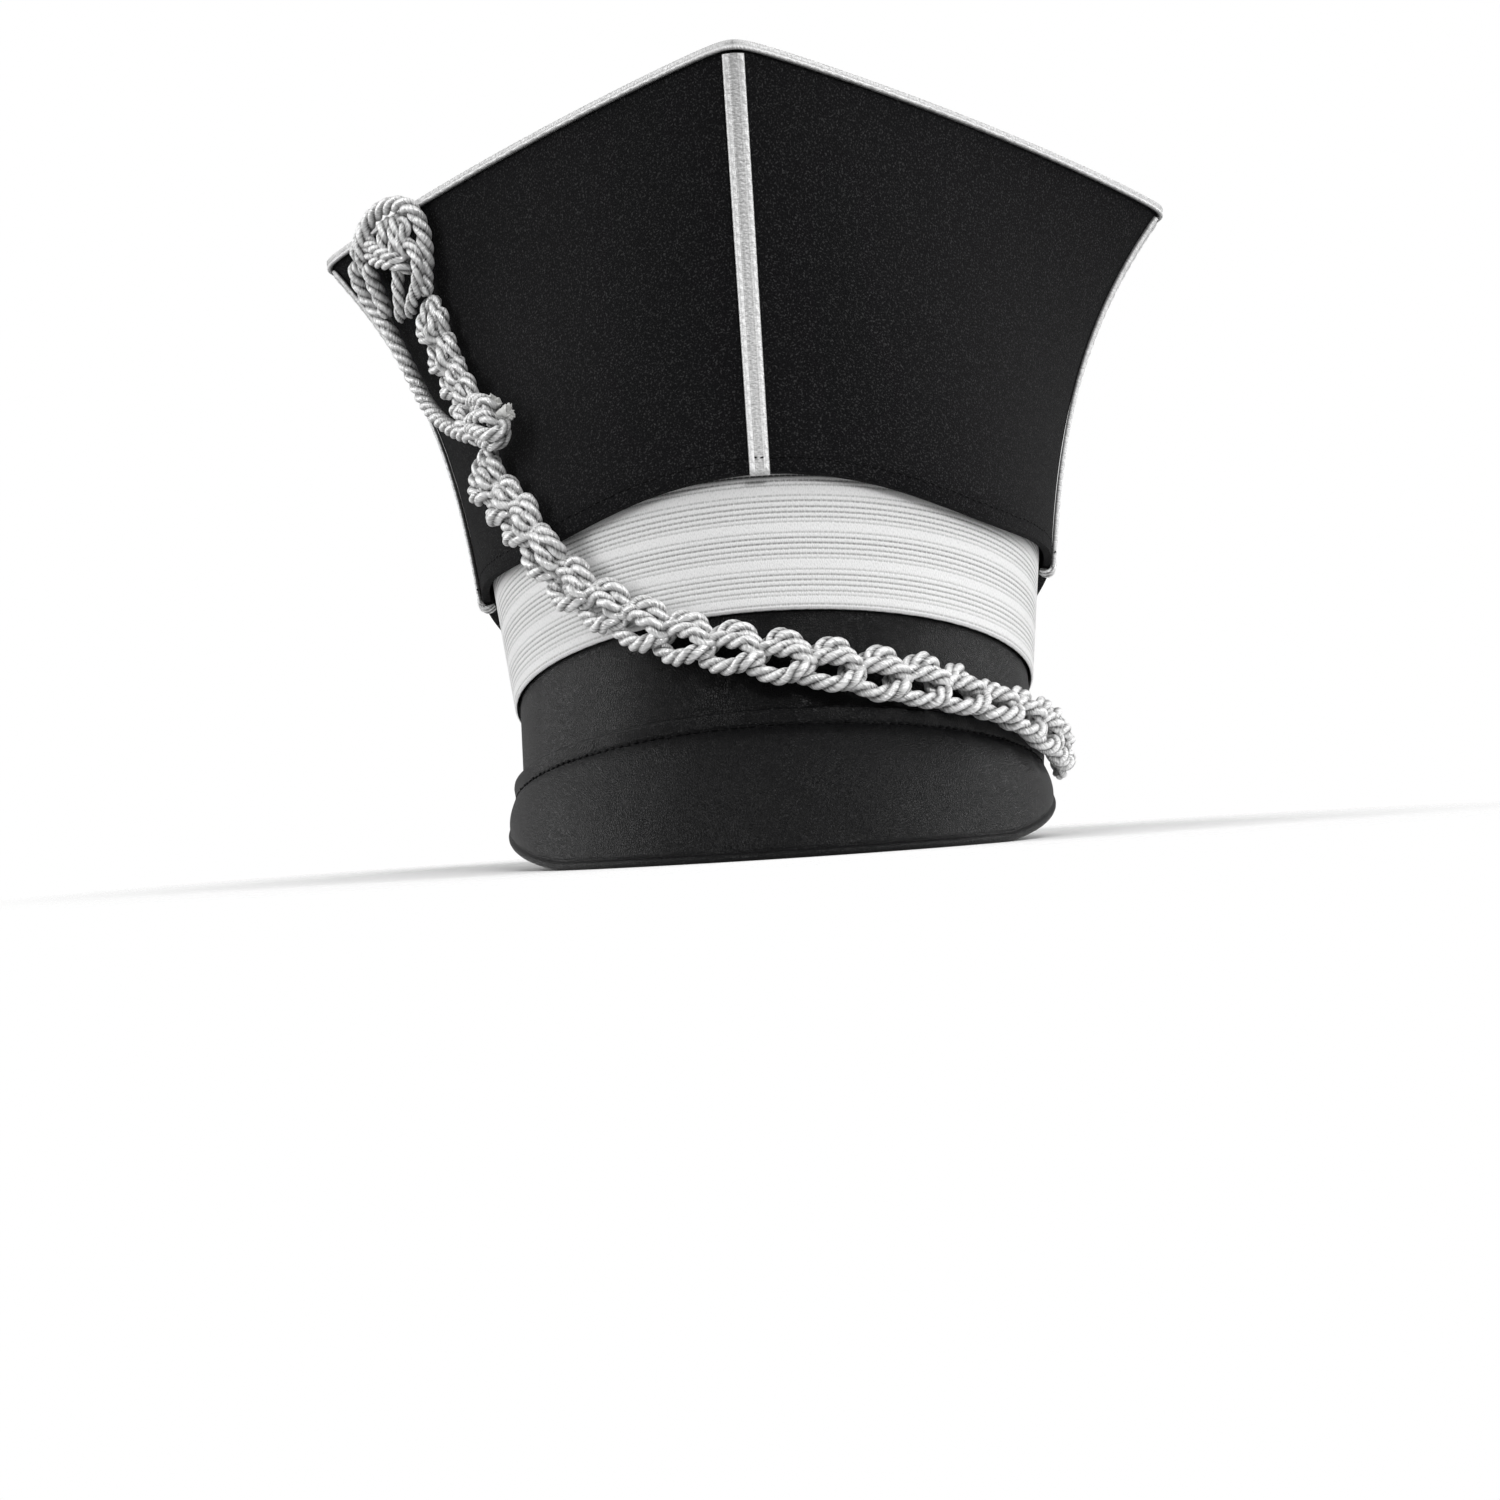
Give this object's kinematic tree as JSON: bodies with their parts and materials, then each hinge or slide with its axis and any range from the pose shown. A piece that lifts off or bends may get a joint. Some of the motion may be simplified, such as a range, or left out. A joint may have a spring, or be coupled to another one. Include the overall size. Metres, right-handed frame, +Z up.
{
  "type": "shako hat",
  "caption": "Black felt and leather shako of the four-cornered kind, with a peak, a ribbed silver lace band, silver braid on its ridges and top edge, and a plaited silver cap line.",
  "frame": {"origin": "middle of the underside of the cap as it rests on a flat surface, on its peak's lower edge and the back of its rim", "axes": "+Z up, -Y towards the peak and the front corner, +X to the right as the picture shows it"},
  "size_m": [0.2902, 0.3132, 0.2437],
  "materials": {
    "felt": "matte black wool felt",
    "leather": "pebble-grained black leather with a soft sheen",
    "lace": "ribbed silver galloon lace",
    "braid": "silver braid with corded edges",
    "cord": "twisted silver metal-thread cord"
  },
  "bodies": {
    "root": {"head_band": "leather", "lace_band": "lace", "crown_panel_front_right": "felt", "crown_panel_back_right": "felt", "crown_panel_back_left": "felt", "crown_panel_front_left": "felt", "crown_top": "felt", "ridge_trim_front": "braid", "ridge_trim_right": "braid", "ridge_trim_back": "braid", "ridge_trim_left": "braid", "top_edge_trim": "braid", "peak": "leather", "cap_line_plait_upper": "cord", "cap_line_plait": "cord", "cap_line_top_loop": "cord", "cap_line_leg": "cord", "cap_line_top_knot": "cord", "cap_line_tie_knot": "cord", "cap_line_cut_end_upper": "cord", "cap_line_cut_end_lower": "cord", "cap_line_end_loop": "cord"}
  },
  "joints": []
}
